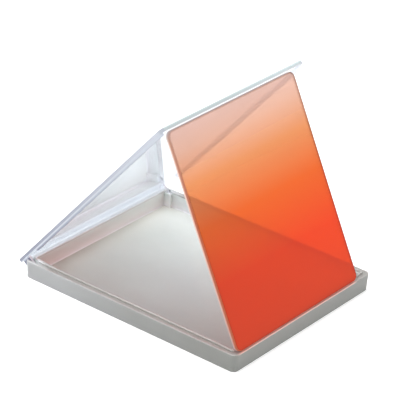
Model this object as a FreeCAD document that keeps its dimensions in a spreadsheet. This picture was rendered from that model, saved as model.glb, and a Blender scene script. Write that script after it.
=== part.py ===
"""Graduated square camera filter standing in its open storage case.

Three separate pieces: a frosted moulded tray, a clear lid that snaps onto it with a pin at
each back corner, and the resin filter plate, propped between the tray's front ledge and the
half-open lid.

Frame: +X along the hinge, +Y towards the hinge, +Z up, origin at the middle of the tray's
underside. Every size is a cell of the Dimensions sheet, in millimetres or degrees.
"""
import FreeCAD, Part
import math
import os
from types import SimpleNamespace

import Sketcher
from FreeCAD import Placement, Rotation, Vector

DIMENSIONS = (
    # name, value, what it is
    ("case_width", 95.6, "outside of the tray at the ledge, along the hinge"),
    ("case_length", 115.6, "outside of the tray at the ledge, from front to hinge"),
    ("corner_radius", 2.5, "outside corners of the tray and the front corners of the lid"),
    ("skirt_draft", 0.3, "how far the skirt leans in towards its foot"),
    ("skirt_wall", 1.3, "skirt thickness at the ledge"),
    ("ledge_height", 8.2, "top of the ledge that carries the lid"),
    ("ledge_wall", 1.2, "thickness of the ledge"),
    ("lip_inset", 2.2, "outside of the skirt to the outside of the inner wall"),
    ("lip_height", 0.9, "how far the inner wall stands above the ledge"),
    ("lip_corner", 2.0, "outside corners of the inner wall"),
    ("inner_wall", 1.2, "thickness of the inner wall"),
    ("floor_wall", 1.3, "thickness of the floor"),
    ("edge_round", 0.35, "rounding of the tray's free edges"),
    ("foot_round", 0.8, "rounding where the inner wall meets the floor"),
    ("hinge_inset", 2.9, "hinge axis in from the back of the case"),
    ("hinge_height", 5.4, "hinge axis above the tray's underside"),
    ("pin_radius", 1.0, "the lid's two hinge pins"),
    ("pin_play", 0.05, "radial play of a pin in its hole"),
    ("pin_length", 0.9, "how far a pin stands out of its ear"),
    ("pin_hole_depth", 0.9, "blind hole into the skirt from the pocket"),
    ("pocket_width", 2.3, "room for an ear, along the hinge"),
    ("pocket_depth", 5.8, "room for an ear, from the back of the case forwards"),
    ("pocket_floor", 1.0, "material left under a pocket"),
    ("cheek_wall", 1.2, "wall between a pocket and the well"),
    ("ear_thickness", 1.2, "the lid's two hinge ears"),
    ("ear_radius", 2.2, "round end of an ear, about its pin"),
    ("ear_play", 0.15, "gap between an ear and the skirt"),
    ("ear_setback", 0.5, "root of an ear in from the lid's back edge"),
    ("lid_wall", 1.8, "thickness of the clear lid"),
    ("lid_round", 0.25, "rounding of the outer edges of the lid and its rims"),
    ("lid_back_corner", 0.6, "the lid's two back corners"),
    ("rim_wall", 0.9, "thickness of the lid's side rims"),
    ("rim_depth", 1.05, "how far the rims hang below the lid"),
    ("rim_play", 0.05, "gap between a rim and the ledge when closed"),
    ("rim_setback", 13.0, "end of a side rim in from the lid's back edge"),
    ("rim_round", 0.8, "rounding of the rims' hinge ends"),
    ("plate_width", 84.0, "filter plate, the width that its holders take"),
    ("plate_height", 95.0, "filter plate, along the colour gradient"),
    ("plate_thickness", 2.0, "filter plate"),
    ("plate_corner", 3.0, "filter plate, corner radius"),
    ("plate_edge", 0.3, "chamfer round both faces of the plate"),
    ("plate_offset", -4.0, "plate's centre from the case's centre, along the hinge"),
    ("plate_lean", 63.5, "plate's angle from the table, in degrees"),
    ("rest_gap", 0.08, "clearance where the plate meets the tray and the lid"),
)

doc = FreeCAD.newDocument("FilterCase")
sheet = doc.addObject("Spreadsheet::Sheet", "Dimensions")
for row, (name, value, meaning) in enumerate(DIMENSIONS, start=1):
    sheet.set(f"A{row}", name)
    sheet.set(f"B{row}", str(value))
    sheet.set(f"C{row}", meaning)
    sheet.setAlias(f"B{row}", name)
doc.recompute()


class Size:
    """A number worked out from the sheet, with the formula that keeps a property tied to it."""

    def __init__(self, value, formula):
        self.value = value
        self.formula = formula

    def __add__(self, other):
        return Size(self.value + other.value, f"({self.formula} + {other.formula})")

    def __sub__(self, other):
        return Size(self.value - other.value, f"({self.formula} - {other.formula})")

    def __neg__(self):
        return Size(-self.value, f"(-{self.formula})")

    def __truediv__(self, divisor):
        return Size(self.value / divisor, f"({self.formula} / {divisor})")


ZERO = Size(0.0, "0")
at = SimpleNamespace(**{name: Size(float(sheet.get(name)), f"Dimensions.{name}")
                        for name, _, _ in DIMENSIONS})

# Heights and places that several features share.
half_width = at.case_width / 2
half_length = at.case_length / 2
lip_top = at.ledge_height + at.lip_height
rim_foot = at.ledge_height + at.rim_play
lid_inside = rim_foot + at.rim_depth
hinge_y = half_length - at.hinge_inset
pocket_out = half_width - at.skirt_wall
pocket_in = pocket_out - at.pocket_width
pocket_front = half_length - at.pocket_depth
ear_out = pocket_out - at.ear_play
beyond_side = half_width + at.lid_wall
beyond_end = half_length + at.lid_wall


# ---------------------------------------------------------------- helpers

def bind(obj, prop, size):
    """Tie a property to the sheet."""
    obj.setExpression(prop, size.formula)


def body_named(label):
    body = doc.addObject("PartDesign::Body", label)
    body.Label = label
    return body


def origin_plane(body, role):
    return next(item for item in body.Origin.OriginFeatures if item.Role == role)


def sketch_on(body, role, name, offset=ZERO):
    """A sketch parallel to one of the body's own planes, a distance away from it."""
    sketch = body.newObject("Sketcher::SketchObject", name)
    sketch.AttachmentSupport = [(origin_plane(body, role), "")]
    sketch.MapMode = "FlatFace"
    bind(sketch, "AttachmentOffset.Base.z", offset)
    return sketch


def constrain(sketch, name, size, kind, *where):
    index = sketch.addConstraint(Sketcher.Constraint(kind, *where, size.value))
    sketch.renameConstraint(index, name)
    bind(sketch, f"Constraints.{name}", size)


def place_point(sketch, name, curve, end, across, up):
    """Fix an end or centre of a curve, measured from the sketch's origin."""
    constrain(sketch, f"{name}_across", across, "DistanceX", -1, 1, curve, end)
    constrain(sketch, f"{name}_up", up, "DistanceY", -1, 1, curve, end)


def polygon(sketch, name, corners):
    """Closed straight-sided outline through its corners."""
    points = [Vector(across.value, up.value, 0) for across, up in corners]
    for start, end in zip(points, points[1:] + points[:1]):
        sketch.addGeometry(Part.LineSegment(start, end))
    for curve, (across, up) in enumerate(corners):
        following = (curve + 1) % len(corners)
        sketch.addConstraint(Sketcher.Constraint("Coincident", curve, 2, following, 1))
        place_point(sketch, f"{name}_{curve}", curve, 1, across, up)


def box_outline(sketch, name, low_across, high_across, low_up, high_up):
    polygon(sketch, name, ((low_across, low_up), (high_across, low_up),
                           (high_across, high_up), (low_across, high_up)))


def circle(sketch, name, across, up, radius):
    centre = Vector(across.value, up.value, 0)
    curve = sketch.addGeometry(Part.Circle(centre, Vector(0, 0, 1), radius.value))
    place_point(sketch, name, curve, 3, across, up)
    constrain(sketch, f"{name}_radius", radius, "Radius", curve)


def rounded_outline(sketch, name, half_across, half_up, front_radius, back_radius):
    """Rectangle about the origin, its front corners rounded one way and its back ones another."""
    radii = (front_radius, front_radius, back_radius, back_radius)
    signs = ((-1, -1), (1, -1), (1, 1), (-1, 1))
    arcs = []
    for step, ((side, end), radius) in enumerate(zip(signs, radii)):
        centre = Vector(side * (half_across - radius).value, end * (half_up - radius).value, 0)
        start = math.pi * (1 + step / 2)
        whole = Part.Circle(centre, Vector(0, 0, 1), radius.value)
        arcs.append(sketch.addGeometry(Part.ArcOfCircle(whole, start, start + math.pi / 2)))
    lines = []
    for step, arc in enumerate(arcs):
        leave = sketch.getPoint(arc, 2)
        arrive = sketch.getPoint(arcs[(step + 1) % 4], 1)
        lines.append(sketch.addGeometry(Part.LineSegment(leave, arrive)))
    for step, (line, arc) in enumerate(zip(lines, arcs)):
        sketch.addConstraint(Sketcher.Constraint("Tangent", arc, 2, line, 1))
        sketch.addConstraint(Sketcher.Constraint("Tangent", line, 2, arcs[(step + 1) % 4], 1))
        sketch.addConstraint(Sketcher.Constraint("Vertical" if step % 2 else "Horizontal", line))
        constrain(sketch, f"{name}_radius_{step}", radii[step], "Radius", arc)
    front, right, back, left = lines
    constrain(sketch, f"{name}_front", -half_up, "DistanceY", -1, 1, front, 1)
    constrain(sketch, f"{name}_right", half_across, "DistanceX", -1, 1, right, 1)
    constrain(sketch, f"{name}_back", half_up, "DistanceY", -1, 1, back, 1)
    constrain(sketch, f"{name}_left", -half_across, "DistanceX", -1, 1, left, 1)


def extrude(body, kind, name, sketch, length, along_normal=True):
    """Pad or pocket a sketch. A pad's own way is along the normal and a pocket's against it."""
    feature = body.newObject(f"PartDesign::{kind}", name)
    feature.Profile = sketch
    feature.Reversed = along_normal if kind == "Pocket" else not along_normal
    bind(feature, "Length", length)
    sketch.Visibility = False
    return feature


def cut(body, name, sketch, length):
    """Pocket a sketch along its normal, and make sure that it took something away."""
    doc.recompute()
    before = body.Shape.Volume
    feature = extrude(body, "Pocket", name, sketch, length)
    doc.recompute()
    if feature.Shape.Volume > before - 0.1:
        raise RuntimeError(f"{name} cut nothing")
    return feature


def near(value, size):
    return abs(value - size.value) < 0.02


def level_edges(feature, test):
    """Names of a feature's edges that lie level and whose ends all pass a test."""
    doc.recompute()
    names = []
    for index, edge in enumerate(feature.Shape.Edges, start=1):
        ends = [vertex.Point for vertex in edge.Vertexes]
        if abs(ends[0].z - ends[-1].z) < 0.001 and all(test(end) for end in ends):
            names.append(f"Edge{index}")
    return names


def dress(body, kind, name, feature, test, amount):
    """Round or chamfer the level edges of the last feature that pass a test."""
    edges = level_edges(feature, test)
    dressed = body.newObject(f"PartDesign::{kind}", name)
    dressed.Base = (feature, edges)
    bind(dressed, "Radius" if kind == "Fillet" else "Size", amount)
    return dressed


def mirror(body, name, features):
    """Repeat features on the other side of the plane across the hinge."""
    mirrored = body.newObject("PartDesign::Mirrored", name)
    mirrored.Originals = features
    mirrored.MirrorPlane = (origin_plane(body, "YZ_Plane"), [""])
    body.Tip = mirrored
    return mirrored


# ---------------------------------------------------------------- tray

def is_outermost(point, slack):
    """On the outside of the case, as seen from above."""
    return (abs(point.x) > (half_width - slack).value - 0.02
            or abs(point.y) > (half_length - slack).value - 0.02)


def is_free_tray_edge(point):
    if near(point.z, lip_top):
        return True
    at_ledge_or_foot = near(point.z, at.ledge_height) or near(point.z, ZERO)
    return at_ledge_or_foot and is_outermost(point, at.skirt_draft)


def is_on_well_floor(point):
    return near(point.z, at.floor_wall)


def make_tray():
    """Drafted skirt, ledge and raised inner wall round a shallow well, cored from below."""
    tray = body_named("case_tray")

    foot = sketch_on(tray, "XY_Plane", "SkirtFoot")
    rounded_outline(foot, "foot", half_width - at.skirt_draft, half_length - at.skirt_draft,
                    at.corner_radius, at.corner_radius)
    shoulder = sketch_on(tray, "XY_Plane", "SkirtTop", at.ledge_height)
    rounded_outline(shoulder, "top", half_width, half_length, at.corner_radius, at.corner_radius)
    skirt = tray.newObject("PartDesign::AdditiveLoft", "Skirt")
    skirt.Profile = foot
    skirt.Sections = [(shoulder, [""])]
    skirt.Ruled = True
    foot.Visibility = shoulder.Visibility = False

    lip_half_width = half_width - at.lip_inset
    lip_half_length = half_length - at.lip_inset
    lip_outline = sketch_on(tray, "XY_Plane", "LipOutline", at.ledge_height - at.ledge_wall)
    rounded_outline(lip_outline, "lip", lip_half_width, lip_half_length,
                    at.lip_corner, at.lip_corner)
    extrude(tray, "Pad", "Lip", lip_outline, at.ledge_wall + at.lip_height)

    well_outline = sketch_on(tray, "XY_Plane", "WellOutline", at.floor_wall)
    well_corner = at.lip_corner - at.inner_wall
    rounded_outline(well_outline, "well", lip_half_width - at.inner_wall,
                    lip_half_length - at.inner_wall, well_corner, well_corner)
    well = cut(tray, "Well", well_outline, lip_top)

    eased = dress(tray, "Fillet", "FreeEdges", well, is_free_tray_edge, at.edge_round)
    dress(tray, "Fillet", "WellFoot", eased, is_on_well_floor, at.foot_round)

    groove_outline = sketch_on(tray, "XY_Plane", "GrooveOutline")
    groove_corner = at.corner_radius - at.edge_round
    rounded_outline(groove_outline, "outer", half_width - at.skirt_wall,
                    half_length - at.skirt_wall, groove_corner, groove_corner)
    rounded_outline(groove_outline, "inner", lip_half_width, lip_half_length,
                    at.lip_corner, at.lip_corner)
    cut(tray, "CoreGroove", groove_outline, at.ledge_height - at.ledge_wall)

    block_outline = sketch_on(tray, "XY_Plane", "HingeBlockOutline")
    box_outline(block_outline, "block", pocket_in - at.cheek_wall, pocket_out + at.edge_round,
                pocket_front - at.cheek_wall, half_length - at.skirt_wall + at.edge_round)
    block = extrude(tray, "Pad", "HingeBlock", block_outline, at.ledge_height)
    mirror(tray, "HingeBlocks", [block])

    pocket_outline = sketch_on(tray, "XY_Plane", "EarPocketOutline", at.pocket_floor)
    box_outline(pocket_outline, "pocket", pocket_in, pocket_out, pocket_front, beyond_end)
    pocket = cut(tray, "EarPocket", pocket_outline, lip_top)
    mirror(tray, "EarPockets", [pocket])

    hole_outline = sketch_on(tray, "YZ_Plane", "PinHoleOutline", ear_out)
    circle(hole_outline, "hole", hinge_y, at.hinge_height, at.pin_radius + at.pin_play)
    hole = cut(tray, "PinHole", hole_outline, at.ear_play + at.pin_hole_depth)
    mirror(tray, "PinHoles", [hole])
    return tray


# ---------------------------------------------------------------- lid

def is_rim_end(point):
    return near(point.z, rim_foot) and near(point.y, half_length - at.rim_setback)


def is_outer_lid_edge(point):
    at_top_or_rim = near(point.z, lid_inside + at.lid_wall) or near(point.z, rim_foot)
    return at_top_or_rim and is_outermost(point, ZERO)


def make_lid():
    """Flat clear lid, drawn closed, with side rims, two hinge ears and their pins."""
    lid = body_named("case_lid")

    slab_outline = sketch_on(lid, "XY_Plane", "SlabOutline", rim_foot)
    rounded_outline(slab_outline, "slab", half_width, half_length,
                    at.corner_radius, at.lid_back_corner)
    extrude(lid, "Pad", "Slab", slab_outline, at.rim_depth + at.lid_wall)

    inside_outline = sketch_on(lid, "XY_Plane", "InsideOutline", rim_foot)
    box_outline(inside_outline, "inside", at.rim_wall - half_width, half_width - at.rim_wall,
                -beyond_end, beyond_end)
    cut(lid, "Inside", inside_outline, at.rim_depth)

    hinge_end_outline = sketch_on(lid, "XY_Plane", "HingeEndOutline", rim_foot)
    box_outline(hinge_end_outline, "hinge_end", -beyond_side, beyond_side,
                half_length - at.rim_setback, beyond_end)
    hinge_end = cut(lid, "HingeEnd", hinge_end_outline, at.rim_depth)

    eased = dress(lid, "Fillet", "RimEnds", hinge_end, is_rim_end, at.rim_round)
    dress(lid, "Fillet", "OuterEdges", eased, is_outer_lid_edge, at.lid_round)

    root_outline = sketch_on(lid, "YZ_Plane", "EarRootOutline", ear_out)
    ear_front = hinge_y - at.ear_radius
    ear_top = lid_inside + at.lid_round
    polygon(root_outline, "root", ((ear_front, at.hinge_height),
                                   (hinge_y + at.ear_radius, at.hinge_height),
                                   (half_length - at.ear_setback, ear_top),
                                   (ear_front, ear_top)))
    root = extrude(lid, "Pad", "EarRoot", root_outline, at.ear_thickness, along_normal=False)

    disc_outline = sketch_on(lid, "YZ_Plane", "EarDiscOutline", ear_out)
    circle(disc_outline, "disc", hinge_y, at.hinge_height, at.ear_radius)
    disc = extrude(lid, "Pad", "EarDisc", disc_outline, at.ear_thickness, along_normal=False)

    pin_outline = sketch_on(lid, "YZ_Plane", "PinOutline", ear_out - at.ear_thickness / 2)
    circle(pin_outline, "pin", hinge_y, at.hinge_height, at.pin_radius)
    pin = extrude(lid, "Pad", "Pin", pin_outline, at.ear_thickness / 2 + at.pin_length)
    mirror(lid, "Ears", [root, disc, pin])
    return lid


# ---------------------------------------------------------------- filter plate

def is_on_plate_face(point):
    return near(point.z, ZERO) or near(point.z, at.plate_thickness)


def make_plate():
    """Resin plate, drawn flat about the origin with its rear face down."""
    plate = body_named("filter_plate")
    outline = sketch_on(plate, "XY_Plane", "PlateOutline")
    rounded_outline(outline, "plate", at.plate_width / 2, at.plate_height / 2,
                    at.plate_corner, at.plate_corner)
    slab = extrude(plate, "Pad", "PlateSlab", outline, at.plate_thickness)
    dress(plate, "Chamfer", "PlateEdges", slab, is_on_plate_face, at.plate_edge)
    return plate


# ---------------------------------------------------------------- how they stand

def plate_foot():
    """Where the plate's rear lower edge stands on the front ledge, as (y, z).

    The plate leans back over the inner wall, so its rear face clears the wall's front top
    edge by the rest gap.
    """
    lean = math.radians(at.plate_lean.value)
    gap = at.rest_gap.value
    rise = at.lip_height.value - gap
    lip_front = -(half_length - at.lip_inset).value
    return (lip_front - (rise * math.cos(lean) + gap) / math.sin(lean),
            at.ledge_height.value + gap)


def rest_opening(foot_y, foot_z):
    """Angle from closed at which the lid's inside lies on the plate's rear top edge."""
    lean = math.radians(at.plate_lean.value)
    height = at.plate_height.value
    back = foot_y + height * math.cos(lean) - hinge_y.value
    up = foot_z + height * math.sin(lean) - at.hinge_height.value
    offset = (lid_inside - at.hinge_height).value - at.rest_gap.value
    return math.degrees(math.pi - math.asin(offset / math.hypot(back, up)) - math.atan2(up, back))


tray = make_tray()
lid = make_lid()
plate = make_plate()

foot_y, foot_z = plate_foot()
opening = rest_opening(foot_y, foot_z)
hinge_point = Vector(0, hinge_y.value, at.hinge_height.value)
lid.Placement = Placement(Vector(0, 0, 0), Rotation(Vector(-1, 0, 0), opening), hinge_point)

lean_turn = Rotation(Vector(1, 0, 0), at.plate_lean.value)
foot_to_middle = lean_turn.multVec(Vector(0, (at.plate_height / 2).value, 0))
plate.Placement = Placement(
    Vector(at.plate_offset.value, foot_y, foot_z) + foot_to_middle, lean_turn)

doc.recompute()
for item in doc.Objects:
    if "Invalid" in item.State or "Error" in item.State:
        raise RuntimeError(f"{item.Label} did not recompute: {item.State}")

os.makedirs("parts", exist_ok=True)
for piece in (tray, lid, plate):
    shape = piece.Shape
    if shape.isNull() or not shape.isValid() or len(shape.Solids) != 1:
        raise RuntimeError(f"{piece.Label} is not one valid solid")
    shape.exportStep(f"parts/{piece.Label}.step")
    print(f"{piece.Label}: {shape.Volume:.1f} mm3")

print(f"hinge axis at y {hinge_point.y:.3f}, z {hinge_point.z:.3f}, lid open {opening:.3f} degrees")
print(f"plate foot at y {foot_y:.3f}, z {foot_z:.3f}")
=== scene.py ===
"""Graduated camera filter standing in its open storage case: finishes, light and camera.

The three pieces come from the frame as they are. This file gives each the finish of the real
plastic, puts them on a pale floor under soft boxes, and sets the camera.
"""
import math

import bpy
from mathutils import Matrix, Vector

MM = 0.001

# The case, in millimetres from the middle of its underside. Each line lies inside the plastic
# behind the face that it stands for, so that a face is never on the line itself.
WELL_HALF_WIDTH = 45.0
WELL_HALF_LENGTH = 55.0
WELL_FLOOR = 1.0
LEDGE_ROUND = 7.8
LEDGE = 8.1

# The plate as it stands: its rear lower edge, its lean, and its size in millimetres.
PLATE_FOOT = Vector((-4.0, -56.098, 8.28)) * MM
PLATE_LEAN = math.radians(63.5)
PLATE_UP = (0.0, math.cos(PLATE_LEAN), math.sin(PLATE_LEAN))
PLATE_NORMAL = (0.0, -math.sin(PLATE_LEAN), math.cos(PLATE_LEAN))
PLATE_HEIGHT = 95.0
PLATE_WIDTH = 84.0
PLATE_THICKNESS = 2.0
PLATE_CORNER = 3.0
OUTLINE_WIDTH = 0.9

# The lid as it stands open: which way its outer face and its front edge look, the height of
# panel and rim together, and about where its front edge comes to over the case.
LID_OPENING = math.radians(50.063)
LID_NORMAL = Vector((0.0, math.sin(LID_OPENING), math.cos(LID_OPENING)))
LID_FRONTWARD = Vector((0.0, -math.cos(LID_OPENING), math.sin(LID_OPENING)))
LID_EDGE = 2.85
LID_REACH = -20.0

# How squarely a face lies to a direction, as the cosine of the angle between them, where a
# finish starts to change and where it has changed.
WALL_TO_FLOOR = (0.75, 0.99)
ROUND_TO_PANEL = (0.85, 0.97)
TO_FRONT_EDGE = (0.3, 0.5)
TO_SIDE_EDGE = (0.1, 0.25)
PLATE_FACE = 0.9

# Sizes of the patterns, in millimetres. Mould grain and scuffs are really finer, and are
# drawn as coarse as they need to be to show.
FLOW_CLOUD = 22.0
MOULD_GRAIN = 0.5
GRAIN_DEPTH = 0.05
SCUFF_SPACING = 1.2
PAPER_FIBRE = 40.0
LIGHT_SPREAD = 3.0

POLYSTYRENE_IOR = 1.59
RESIN_IOR = 1.5

# The view: from the front left, a little above, through a long lens.
VIEW_AZIMUTH = math.radians(-52.81)
VIEW_ELEVATION = math.radians(27.79)
VIEW_ROLL = math.radians(3.33)
VIEW_DISTANCE = 985.7 * MM
VIEW_TARGET = Vector((0, 1.07, 40.16)) * MM
LENS = 208.2
SENSOR = 36.0

# The room, in metres and watts.
ROOM_STRENGTH = 0.8
FLOOR_HALF_SIZE = 4.0
FLOOR_DROP = 0.02 * MM
SOFT_BOXES = (
    # name, place, side, power
    ("overhead_box", (-0.1, 0.3, 1.1), 0.9, 8.0),
    ("left_box", (-0.9, 0.7, 0.35), 0.6, 5.0),
    ("front_box", (0.6, -1.1, 0.5), 0.6, 3.5),
)

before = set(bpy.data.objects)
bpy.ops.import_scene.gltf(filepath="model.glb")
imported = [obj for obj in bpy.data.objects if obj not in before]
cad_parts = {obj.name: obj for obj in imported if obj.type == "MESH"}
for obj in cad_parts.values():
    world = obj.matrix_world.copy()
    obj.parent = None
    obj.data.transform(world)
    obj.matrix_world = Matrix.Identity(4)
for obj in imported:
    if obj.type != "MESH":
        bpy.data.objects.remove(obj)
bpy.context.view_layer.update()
scene = bpy.context.scene


# ---------------------------------------------------------------- helpers

def linear(hex_colour):
    """An sRGB hex value as linear RGBA."""
    channels = (int(hex_colour[start:start + 2], 16) / 255 for start in (0, 2, 4))
    return (*(c / 12.92 if c <= 0.04045 else ((c + 0.055) / 1.055) ** 2.4 for c in channels),
            1.0)


def add_node(tree, kind, settings=None, inputs=None):
    """Add a node, set its properties, then set or link each input by its name or number."""
    node = tree.nodes.new(kind)
    for name, value in (settings or {}).items():
        setattr(node, name, value)
    for name, value in (inputs or {}).items():
        socket = node.inputs[name] if isinstance(name, int) else next(
            item for item in node.inputs if item.enabled and item.name == name)
        if isinstance(value, bpy.types.NodeSocket):
            tree.links.new(value, socket)
        else:
            socket.default_value = value
    return node


def result_of(node):
    """The one output that a node offers in the mode it is set to."""
    return next(item for item in node.outputs if item.enabled)


def set_ramp(ramp_node, stops):
    """Give a colour ramp its stops, each a position and an sRGB hex value."""
    ramp = ramp_node.color_ramp
    while len(ramp.elements) > 1:
        ramp.elements.remove(ramp.elements[-1])
    for index, (position, hex_colour) in enumerate(stops):
        stop = ramp.elements[0] if index == 0 else ramp.elements.new(position)
        stop.position = position
        stop.color = linear(hex_colour)


def new_material(name):
    """An empty node material with its output, and where a point is on the piece."""
    material = bpy.data.materials.new(name)
    material.use_nodes = True
    tree = material.node_tree
    tree.nodes.clear()
    output = add_node(tree, "ShaderNodeOutputMaterial")
    place = add_node(tree, "ShaderNodeTexCoord").outputs["Object"]
    return material, tree, output, place


def distance_along(tree, place, direction):
    """How far a point or a surface normal reaches along a direction on the piece."""
    return add_node(tree, "ShaderNodeVectorMath", {"operation": "DOT_PRODUCT"},
                    {0: place, 1: direction}).outputs["Value"]


def faces_towards(tree, direction):
    """How nearly a surface looks in a direction on the piece, from -1 to 1."""
    normal = add_node(tree, "ShaderNodeTexCoord").outputs["Normal"]
    return distance_along(tree, normal, direction)


def lies_square_to(tree, direction):
    """How squarely a surface lies to a direction, whichever side it looks to, 0 to 1."""
    return add_node(tree, "ShaderNodeMath", {"operation": "ABSOLUTE"},
                    {0: faces_towards(tree, direction)}).outputs[0]


def let_lamps_through(tree, output, shader, tint):
    """Show a clear shader, and let lamplight through it tinted instead of stopping it."""
    path = add_node(tree, "ShaderNodeLightPath")
    open_air = add_node(tree, "ShaderNodeBsdfTransparent", inputs={"Color": tint})
    mix = add_node(tree, "ShaderNodeMixShader", inputs={
        0: path.outputs["Is Shadow Ray"], 1: shader.outputs[0], 2: open_air.outputs[0]})
    tree.links.new(mix.outputs[0], output.inputs["Surface"])


# ---------------------------------------------------------------- finishes

def frosted_polystyrene():
    """Injection-moulded polystyrene, lightly tinted grey.

    The outside of the mould was spark-eroded, which leaves a satin frost. The well and the
    ledge were polished, so they mirror what stands on them. The plastic lets light spread
    inside it, and flow in the mould clouds its grey.
    """
    material, tree, output, place = new_material("frosted_grey_polystyrene")
    across = add_node(tree, "ShaderNodeSeparateXYZ", inputs={"Vector": place})
    from_left = add_node(tree, "ShaderNodeMapRange", inputs={
        "Value": across.outputs["X"], "From Min": -WELL_HALF_WIDTH * MM,
        "From Max": WELL_HALF_WIDTH * MM})
    towards_hinge = add_node(tree, "ShaderNodeMapRange", inputs={
        "Value": across.outputs["Y"], "From Min": -WELL_HALF_LENGTH * MM,
        "From Max": WELL_HALF_LENGTH * MM})
    up_wall = add_node(tree, "ShaderNodeMapRange", inputs={
        "Value": across.outputs["Z"], "From Min": WELL_FLOOR * MM, "From Max": LEDGE * MM})
    clouds = add_node(tree, "ShaderNodeTexNoise", inputs={
        "Vector": place, "Scale": 1 / (FLOW_CLOUD * MM), "Detail": 3.0, "Roughness": 0.55})

    # The skirt, greener and darker towards the front, where the darkening is painted shade.
    skirt_clouds_and_shade = add_node(tree, "ShaderNodeMath", {"operation": "MULTIPLY_ADD"}, {
        0: clouds.outputs["Fac"], 1: 0.25, 2: towards_hinge.outputs["Result"]})
    skirt_grey_and_shade = add_node(tree, "ShaderNodeValToRGB", inputs={"Fac": skirt_clouds_and_shade.outputs[0]})
    set_ramp(skirt_grey_and_shade, ((0.1, "777975"), (0.6, "828482"), (1.0, "949697")))

    # The floor of the well, paler to the right and warmer towards the hinge: both painted
    # light.
    floor_clouds_and_light = add_node(tree, "ShaderNodeMath", {"operation": "MULTIPLY_ADD"}, {
        0: clouds.outputs["Fac"], 1: 0.2, 2: from_left.outputs["Result"]})
    floor_grey_and_light = add_node(tree, "ShaderNodeValToRGB", inputs={"Fac": floor_clouds_and_light.outputs[0]})
    set_ramp(floor_grey_and_light, ((0.15, "A9A6A1"), (0.5, "B6B8B4"), (0.8, "C8CCC8"),
                          (1.0, "DADEDA")))
    painted_light_tint = add_node(tree, "ShaderNodeValToRGB", inputs={
        "Fac": towards_hinge.outputs["Result"]})
    set_ramp(painted_light_tint, ((0.0, "EAFCFC"), (0.5, "F6FBFB"), (0.85, "FAFAF6"), (1.0, "FFFCF6")))
    floor_tone_and_light = add_node(tree, "ShaderNodeMix",
                          {"data_type": "RGBA", "blend_type": "MULTIPLY"}, {
                              "Factor": 1.0, "A": floor_grey_and_light.outputs["Color"],
                              "B": painted_light_tint.outputs["Color"]})

    # The walls of the well are thin. They are coloured paler, most at the foot, for the light
    # that comes through them.
    from_middle = add_node(tree, "ShaderNodeVectorMath", {"operation": "ABSOLUTE"}, {0: place})
    out_to = add_node(tree, "ShaderNodeSeparateXYZ", inputs={
        "Vector": from_middle.outputs[0]})
    within_width = add_node(tree, "ShaderNodeMath", {"operation": "LESS_THAN"},
                            {0: out_to.outputs["X"], 1: WELL_HALF_WIDTH * MM})
    within_length = add_node(tree, "ShaderNodeMath", {"operation": "LESS_THAN"},
                             {0: out_to.outputs["Y"], 1: WELL_HALF_LENGTH * MM})
    in_plan = add_node(tree, "ShaderNodeMath", {"operation": "MULTIPLY"},
                       {0: within_width.outputs[0], 1: within_length.outputs[0]})
    upright = add_node(tree, "ShaderNodeMapRange", inputs={
        "Value": lies_square_to(tree, (0.0, 0.0, 1.0)), "From Min": WALL_TO_FLOOR[0],
        "From Max": WALL_TO_FLOOR[1], "To Min": 1.0, "To Max": 0.0})
    is_wall = add_node(tree, "ShaderNodeMath", {"operation": "MULTIPLY"},
                       {0: upright.outputs["Result"], 1: in_plan.outputs[0]})
    wall_grey = add_node(tree, "ShaderNodeValToRGB", inputs={
        "Fac": up_wall.outputs["Result"]})
    set_ramp(wall_grey, ((0.1, "FAFCFA"), (0.45, "E6ECE8"), (1.0, "CDD5D1")))
    inside = add_node(tree, "ShaderNodeMix", {"data_type": "RGBA"}, {
        "Factor": is_wall.outputs[0], "A": result_of(floor_tone_and_light),
        "B": wall_grey.outputs["Color"]})

    above_floor = add_node(tree, "ShaderNodeMath", {"operation": "GREATER_THAN"},
                           {0: across.outputs["Z"], 1: WELL_FLOOR * MM})
    in_well = add_node(tree, "ShaderNodeMath", {"operation": "MULTIPLY"},
                       {0: in_plan.outputs[0], 1: above_floor.outputs[0]})
    tray_tone = add_node(tree, "ShaderNodeMix", {"data_type": "RGBA"}, {
        "Factor": in_well.outputs[0], "A": skirt_grey_and_shade.outputs["Color"],
        "B": result_of(inside)})

    # The ledge and the lip above it, palest at the hinge, where the paleness is painted light.
    on_ledge = add_node(tree, "ShaderNodeMath", {"operation": "GREATER_THAN"},
                        {0: across.outputs["Z"], 1: LEDGE * MM})
    ledge_grey_and_light = add_node(tree, "ShaderNodeValToRGB", inputs={
        "Fac": towards_hinge.outputs["Result"]})
    set_ramp(ledge_grey_and_light, ((0.9, "9C9A96"), (0.97, "BABDBC")))
    with_ledge = add_node(tree, "ShaderNodeMix", {"data_type": "RGBA"}, {
        "Factor": on_ledge.outputs[0], "A": result_of(tray_tone),
        "B": ledge_grey_and_light.outputs["Color"]})
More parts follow.
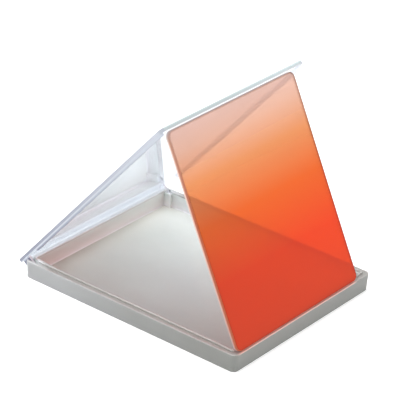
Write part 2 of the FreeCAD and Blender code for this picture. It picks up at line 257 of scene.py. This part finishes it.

    # Painted light: a pink tint on the ledge's front round, for the colour it catches from the
    # plate. It is painted on, so it stays there when the plate is lifted.
    on_round = add_node(tree, "ShaderNodeMath", {"operation": "GREATER_THAN"},
                        {0: across.outputs["Z"], 1: LEDGE_ROUND * MM})
    at_front = add_node(tree, "ShaderNodeMath", {"operation": "LESS_THAN"}, {
        0: across.outputs["Y"], 1: PLATE_FOOT.y - PLATE_THICKNESS / 2 * MM})
    front_round = add_node(tree, "ShaderNodeMath", {"operation": "MULTIPLY"},
                           {0: on_round.outputs[0], 1: at_front.outputs[0]})
    from_plate = add_node(tree, "ShaderNodeMath", {"operation": "SUBTRACT"},
                          {0: across.outputs["X"], 1: PLATE_FOOT.x})
    off_centre = add_node(tree, "ShaderNodeMath", {"operation": "ABSOLUTE"},
                          {0: from_plate.outputs[0]})
    under_plate = add_node(tree, "ShaderNodeMapRange", inputs={
        "Value": off_centre.outputs[0], "From Min": PLATE_WIDTH / 2 * MM,
        "From Max": (PLATE_WIDTH / 2 - PLATE_CORNER) * MM})
    painted_plate_glow = add_node(tree, "ShaderNodeMath", {"operation": "MULTIPLY"},
                     {0: front_round.outputs[0], 1: under_plate.outputs["Result"]})
    colour = add_node(tree, "ShaderNodeMix", {"data_type": "RGBA"}, {
        "Factor": painted_plate_glow.outputs[0], "A": result_of(with_ledge), "B": linear("CAAAA2")})

    polished = add_node(tree, "ShaderNodeMath", {"operation": "MAXIMUM"},
                        {0: in_well.outputs[0], 1: on_ledge.outputs[0]})
    roughness = add_node(tree, "ShaderNodeMapRange", inputs={
        "Value": polished.outputs[0], "To Min": 0.38, "To Max": 0.13})
    frost = add_node(tree, "ShaderNodeMapRange", inputs={
        "Value": polished.outputs[0], "To Min": 0.12, "To Max": 0.01})
    grain = add_node(tree, "ShaderNodeTexNoise", inputs={
        "Vector": place, "Scale": 1 / (MOULD_GRAIN * MM), "Detail": 2.0})
    relief = add_node(tree, "ShaderNodeBump", inputs={
        "Strength": frost.outputs["Result"], "Distance": GRAIN_DEPTH * MM,
        "Height": grain.outputs["Fac"]})
    plastic = add_node(tree, "ShaderNodeBsdfPrincipled", inputs={
        "Base Color": result_of(colour), "Roughness": roughness.outputs["Result"],
        "IOR": POLYSTYRENE_IOR, "Subsurface Weight": 1.0,
        "Subsurface Radius": (1.0, 1.0, 1.0), "Subsurface Scale": LIGHT_SPREAD * MM,
        "Normal": relief.outputs["Normal"]})
    tree.links.new(plastic.outputs[0], output.inputs["Surface"])
    return material


def clear_polystyrene(lid_top):
    """Crystal polystyrene from a polished mould: water-clear, with hairline scuffs.

    Its narrow faces keep the grain of the mould's parting line, so they are hazy. Light and
    shade that a clear edge gathers are painted on, and stay put whichever way they are seen:
    pale narrow faces, two lines of painted shade along each side, darkest near the hinge, and
    a cooler painted band of light and shade along the front.
    """
    material, tree, output, place = new_material("clear_polystyrene")
    stretched = add_node(tree, "ShaderNodeMapping", inputs={
        "Vector": place, "Rotation": (0.3, 0.2, 0.5), "Scale": (1.0, 0.06, 1.0)})
    scuffs = add_node(tree, "ShaderNodeTexNoise", inputs={
        "Vector": stretched.outputs[0], "Scale": 1 / (SCUFF_SPACING * MM), "Detail": 4.0})
    haze = add_node(tree, "ShaderNodeMapRange", inputs={
        "Value": scuffs.outputs["Fac"], "From Min": 0.55, "From Max": 0.8,
        "To Min": 0.02, "To Max": 0.1})
    flatness = lies_square_to(tree, LID_NORMAL)
    # Painted light: the narrow faces and their rounds are paler than the tint of the panel.
    panel_tint_and_edge_light = add_node(tree, "ShaderNodeValToRGB", inputs={"Fac": flatness})
    set_ramp(panel_tint_and_edge_light, ((0.05, "F6F8FB"), (0.3, "EAEDF3"), (0.85, "EAEDF3"),
                          (0.97, "D3DAE5")))

    below_top = add_node(tree, "ShaderNodeMapRange", inputs={
        "Value": distance_along(tree, place, LID_NORMAL), "From Min": lid_top,
        "From Max": lid_top - LID_EDGE * MM})
    # Painted light and shade along the front edge: pale at the top, greyer below.
    front_light_and_shade = add_node(tree, "ShaderNodeValToRGB", inputs={
        "Fac": below_top.outputs["Result"]})
    set_ramp(front_light_and_shade, ((0.0, "E6F2F4"), (0.12, "D0DEE0"), (0.3, "B8C6C8"),
                          (0.42, "BCC6C8"), (0.62, "C8C8CC")))
    at_front = add_node(tree, "ShaderNodeMapRange", inputs={
        "Value": faces_towards(tree, LID_FRONTWARD), "From Min": TO_FRONT_EDGE[0],
        "From Max": TO_FRONT_EDGE[1]})
    with_front = add_node(tree, "ShaderNodeMix", {"data_type": "RGBA"}, {
        "Factor": at_front.outputs["Result"], "A": panel_tint_and_edge_light.outputs["Color"],
        "B": front_light_and_shade.outputs["Color"]})

    across = add_node(tree, "ShaderNodeSeparateXYZ", inputs={"Vector": place})
    towards_pins = add_node(tree, "ShaderNodeMapRange", inputs={
        "Value": across.outputs["Y"], "From Min": LID_REACH * MM,
        "From Max": WELL_HALF_LENGTH * MM})
    # Painted shade: two grey lines along each side, darker towards the hinge pins.
    painted_line_shade = add_node(tree, "ShaderNodeMix", {"data_type": "RGBA"}, {
        "Factor": towards_pins.outputs["Result"], "A": linear("BAC0CA"),
        "B": linear("7A7F90")})
    between_lines = add_node(tree, "ShaderNodeValToRGB", inputs={
        "Fac": below_top.outputs["Result"]})
    set_ramp(between_lines, ((0.42, "000000"), (0.52, "FFFFFF"), (0.67, "FFFFFF"),
                             (0.76, "000000")))
    side_lines_light_and_shade = add_node(tree, "ShaderNodeMix", {"data_type": "RGBA"}, {
        "Factor": between_lines.outputs["Color"], "A": result_of(painted_line_shade),
        "B": linear("B4BAC5")})
    which_side = add_node(tree, "ShaderNodeMath", {"operation": "SIGN"},
                          {0: across.outputs["X"]})
    outward = add_node(tree, "ShaderNodeMath", {"operation": "MULTIPLY"}, {
        0: faces_towards(tree, (1.0, 0.0, 0.0)), 1: which_side.outputs[0]})
    at_side = add_node(tree, "ShaderNodeMapRange", inputs={
        "Value": outward.outputs[0], "From Min": TO_SIDE_EDGE[0],
        "From Max": TO_SIDE_EDGE[1]})
    colour = add_node(tree, "ShaderNodeMix", {"data_type": "RGBA"}, {
        "Factor": at_side.outputs["Result"], "A": result_of(with_front),
        "B": result_of(side_lines_light_and_shade)})

    clear = add_node(tree, "ShaderNodeMapRange", inputs={
        "Value": flatness, "From Min": ROUND_TO_PANEL[0], "From Max": ROUND_TO_PANEL[1],
        "To Min": 0.2, "To Max": 1.0})
    roughness = add_node(tree, "ShaderNodeMapRange", inputs={
        "Value": flatness, "From Min": ROUND_TO_PANEL[0], "From Max": ROUND_TO_PANEL[1],
        "To Min": 0.25, "To Max": haze.outputs["Result"]})
    plastic = add_node(tree, "ShaderNodeBsdfPrincipled", inputs={
        "Base Color": result_of(colour), "Roughness": roughness.outputs["Result"],
        "IOR": POLYSTYRENE_IOR, "Transmission Weight": clear.outputs["Result"]})
    let_lamps_through(tree, output, plastic, linear("F4F6FA"))
    return material


def graduated_resin():
    """Cast optical resin dipped in orange dye, deepest at the lower edge.

    The sheet is cut to size, so its edges are ground matt: pale behind, and dark with dye in
    front. Each face is also darker in a line along its outline.
    """
    material, tree, output, place = new_material("graduated_orange_resin")
    from_foot = add_node(tree, "ShaderNodeVectorMath", {"operation": "SUBTRACT"},
                         {0: place, 1: PLATE_FOOT})
    up_plate = distance_along(tree, from_foot.outputs[0], PLATE_UP)
    through_plate = distance_along(tree, from_foot.outputs[0], PLATE_NORMAL)
    share = add_node(tree, "ShaderNodeMapRange", inputs={
        "Value": up_plate, "From Min": 0.0,
        "From Max": PLATE_HEIGHT * MM})
    dye = add_node(tree, "ShaderNodeValToRGB", inputs={"Fac": share.outputs["Result"]})
    set_ramp(dye, ((0.0, "DE420C"), (0.3, "E24000"), (0.55, "DE6210"), (0.75, "DA8F58"),
                   (0.9, "DCB09A"), (1.0, "DEBBAE")))

    # The ground edges, pale behind and dyed in front.
    ground = add_node(tree, "ShaderNodeValToRGB", inputs={"Fac": share.outputs["Result"]})
    set_ramp(ground, ((0.0, "A98C86"), (0.5, "CCAA9C"), (0.93, "D8C4BC"), (1.0, "A89E9B")))
    soaked_dye = add_node(tree, "ShaderNodeValToRGB", inputs={
        "Fac": share.outputs["Result"]})
    set_ramp(soaked_dye, ((0.0, "A05438"), (0.6, "A05438"), (0.95, "A87C6A"),
                          (1.0, "988682")))
    soaked = add_node(tree, "ShaderNodeMapRange", inputs={
        "Value": through_plate, "From Min": 0.35 * PLATE_THICKNESS * MM,
        "From Max": 0.65 * PLATE_THICKNESS * MM})
    edge_colour = add_node(tree, "ShaderNodeMix", {"data_type": "RGBA"}, {
        "Factor": soaked.outputs["Result"], "A": ground.outputs["Color"],
        "B": soaked_dye.outputs["Color"]})

    # The dark line on each face, by how far a point reaches into the rounded outline.
    sideways = add_node(tree, "ShaderNodeSeparateXYZ", inputs={
        "Vector": from_foot.outputs[0]})
    above_middle = add_node(tree, "ShaderNodeMath", {"operation": "SUBTRACT"}, {
        0: up_plate, 1: PLATE_HEIGHT / 2 * MM})
    from_middle = add_node(tree, "ShaderNodeCombineXYZ", inputs={
        "X": sideways.outputs["X"], "Y": above_middle.outputs[0]})
    folded = add_node(tree, "ShaderNodeVectorMath", {"operation": "ABSOLUTE"},
                      {0: from_middle.outputs[0]})
    past_centres = add_node(tree, "ShaderNodeVectorMath", {"operation": "SUBTRACT"}, {
        0: folded.outputs[0], 1: ((PLATE_WIDTH / 2 - PLATE_CORNER) * MM,
                                  (PLATE_HEIGHT / 2 - PLATE_CORNER) * MM, 0)})
    outward = add_node(tree, "ShaderNodeVectorMath", {"operation": "MAXIMUM"},
                       {0: past_centres.outputs[0], 1: (0, 0, 0)})
    reach = add_node(tree, "ShaderNodeVectorMath", {"operation": "LENGTH"},
                     {0: outward.outputs[0]})
    on_outline = add_node(tree, "ShaderNodeMapRange", inputs={
        "Value": reach.outputs["Value"], "From Min": (PLATE_CORNER - OUTLINE_WIDTH) * MM,
        "From Max": (PLATE_CORNER - OUTLINE_WIDTH / 3) * MM})
    face_colour = add_node(tree, "ShaderNodeMix",
                           {"data_type": "RGBA", "blend_type": "MULTIPLY"}, {
                               "Factor": on_outline.outputs["Result"],
                               "A": dye.outputs["Color"], "B": linear("CDB6A8")})

    is_face = add_node(tree, "ShaderNodeMath", {"operation": "GREATER_THAN"},
                       {0: lies_square_to(tree, PLATE_NORMAL), 1: PLATE_FACE})
    colour = add_node(tree, "ShaderNodeMix", {"data_type": "RGBA"}, {
        "Factor": is_face.outputs[0], "A": result_of(edge_colour),
        "B": result_of(face_colour)})
    depth = add_node(tree, "ShaderNodeMapRange", inputs={
        "Value": share.outputs["Result"], "From Min": 0.0, "From Max": 0.8,
        "To Min": 0.5, "To Max": 0.65})
    clear = add_node(tree, "ShaderNodeMath", {"operation": "MULTIPLY"},
                     {0: is_face.outputs[0], 1: depth.outputs["Result"]})
    roughness = add_node(tree, "ShaderNodeMapRange", inputs={
        "Value": is_face.outputs[0], "To Min": 0.5, "To Max": 0.02})
    resin = add_node(tree, "ShaderNodeBsdfPrincipled", inputs={
        "Base Color": result_of(colour), "Roughness": roughness.outputs["Result"],
        "IOR": RESIN_IOR, "Specular IOR Level": 0.2,
        "Transmission Weight": clear.outputs[0]})
    let_lamps_through(tree, output, resin, dye.outputs["Color"])
    return material


def matt_white_card():
    """Seamless paper, white and matt. It glows faintly, which softens the case's shadow."""
    material, tree, output, place = new_material("seamless_paper")
    fibres = add_node(tree, "ShaderNodeTexNoise", inputs={
        "Vector": place, "Scale": 1 / (PAPER_FIBRE * MM)})
    tone = add_node(tree, "ShaderNodeValToRGB", inputs={"Fac": fibres.outputs["Fac"]})
    set_ramp(tone, ((0.3, "FAFAFA"), (0.7, "FBFBFB")))
    paper = add_node(tree, "ShaderNodeBsdfPrincipled", inputs={
        "Base Color": tone.outputs["Color"], "Roughness": 0.9, "Specular IOR Level": 0.1,
        "Emission Color": linear("FFFFFF"), "Emission Strength": 0.28})
    tree.links.new(paper.outputs[0], output.inputs["Surface"])
    return material


lid_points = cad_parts["case_lid"].data.vertices
lid_top = max(point.co.dot(LID_NORMAL) for point in lid_points)
for node_name, finish in (("case_tray", frosted_polystyrene()),
                          ("case_lid", clear_polystyrene(lid_top)),
                          ("filter_plate", graduated_resin())):
    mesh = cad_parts[node_name].data
    mesh.materials.clear()
    mesh.materials.append(finish)


# ---------------------------------------------------------------- floor, light and camera

def add_floor():
    """A wide sheet of paper, a hair below the case."""
    mesh = bpy.data.meshes.new("studio_floor")
    corners = [(x * FLOOR_HALF_SIZE, y * FLOOR_HALF_SIZE, -FLOOR_DROP)
               for x, y in ((-1, -1), (1, -1), (1, 1), (-1, 1))]
    mesh.from_pydata(corners, [], [(0, 1, 2, 3)])
    mesh.materials.append(matt_white_card())
    floor = bpy.data.objects.new("studio_floor", mesh)
    scene.collection.objects.link(floor)


def add_room_light():
    """Pale walls all round."""
    world = bpy.data.worlds.new("pale_room")
    world.use_nodes = True
    world.node_tree.nodes.clear()
    glow = add_node(world.node_tree, "ShaderNodeBackground",
                    inputs={"Color": linear("FFFFFF"), "Strength": ROOM_STRENGTH})
    output = add_node(world.node_tree, "ShaderNodeOutputWorld")
    world.node_tree.links.new(glow.outputs[0], output.inputs["Surface"])
    scene.world = world


def add_soft_box(name, place, side, watts):
    """A square soft box that faces the middle of the case."""
    light = bpy.data.lights.new(name, "AREA")
    light.shape = "SQUARE"
    light.size = side
    light.energy = watts
    box = bpy.data.objects.new(name, light)
    box.location = place
    box.rotation_euler = (VIEW_TARGET - Vector(place)).to_track_quat("-Z", "Y").to_euler()
    scene.collection.objects.link(box)


def add_camera():
    """A camera looking at the middle of the case, tilted a little about its own axis."""
    away = Vector((math.sin(VIEW_AZIMUTH) * math.cos(VIEW_ELEVATION),
                   -math.cos(VIEW_AZIMUTH) * math.cos(VIEW_ELEVATION),
                   math.sin(VIEW_ELEVATION)))
    right = Vector((0, 0, 1)).cross(away).normalized()
    up = away.cross(right)
    tilted_right = right * math.cos(VIEW_ROLL) + up * math.sin(VIEW_ROLL)
    tilted_up = up * math.cos(VIEW_ROLL) - right * math.sin(VIEW_ROLL)
    turn = Matrix((tilted_right, tilted_up, away)).transposed().to_4x4()
    camera_data = bpy.data.cameras.new("studio_camera")
    camera_data.lens = LENS
    camera_data.sensor_width = SENSOR
    camera_data.clip_start = 10 * MM
    camera = bpy.data.objects.new("studio_camera", camera_data)
    camera.matrix_world = Matrix.Translation(VIEW_TARGET + away * VIEW_DISTANCE) @ turn
    scene.collection.objects.link(camera)
    scene.camera = camera


add_floor()
add_room_light()
for name, place, side, watts in SOFT_BOXES:
    add_soft_box(name, place, side, watts)
add_camera()
scene.view_settings.view_transform = "Standard"
